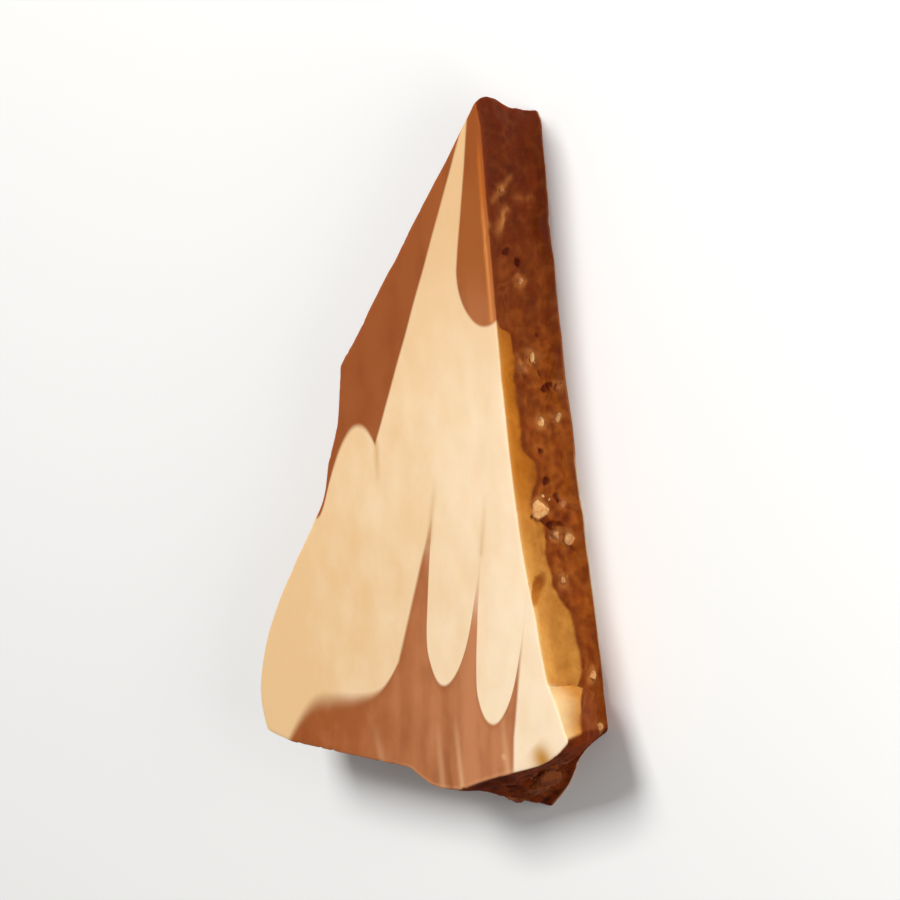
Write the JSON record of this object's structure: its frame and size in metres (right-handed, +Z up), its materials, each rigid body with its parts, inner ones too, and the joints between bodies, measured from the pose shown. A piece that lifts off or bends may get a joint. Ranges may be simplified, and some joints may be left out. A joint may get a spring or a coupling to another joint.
{
  "type": "salted caramel chocolate shard",
  "caption": "Thin broken piece of a poured chocolate slab, milk marbled with blonde, with a flat tapered face and craggy edges set with caramel crunch.",
  "frame": {"origin": "centre of the bounding box in X and Y, on the flat back that it rests on", "axes": "+Z up out of the marbled face, +Y along the face towards its tip, +X to the right of the face"},
  "size_m": [0.0506, 0.083, 0.01],
  "materials": {
    "marbled_chocolate": "satin milk chocolate with pale blonde chocolate swirled into its face",
    "caramel_crunch": "glossy golden caramel pieces showing in the broken edges"
  },
  "bodies": {
    "root": {"chocolate_piece": "marbled_chocolate"}
  },
  "joints": []
}
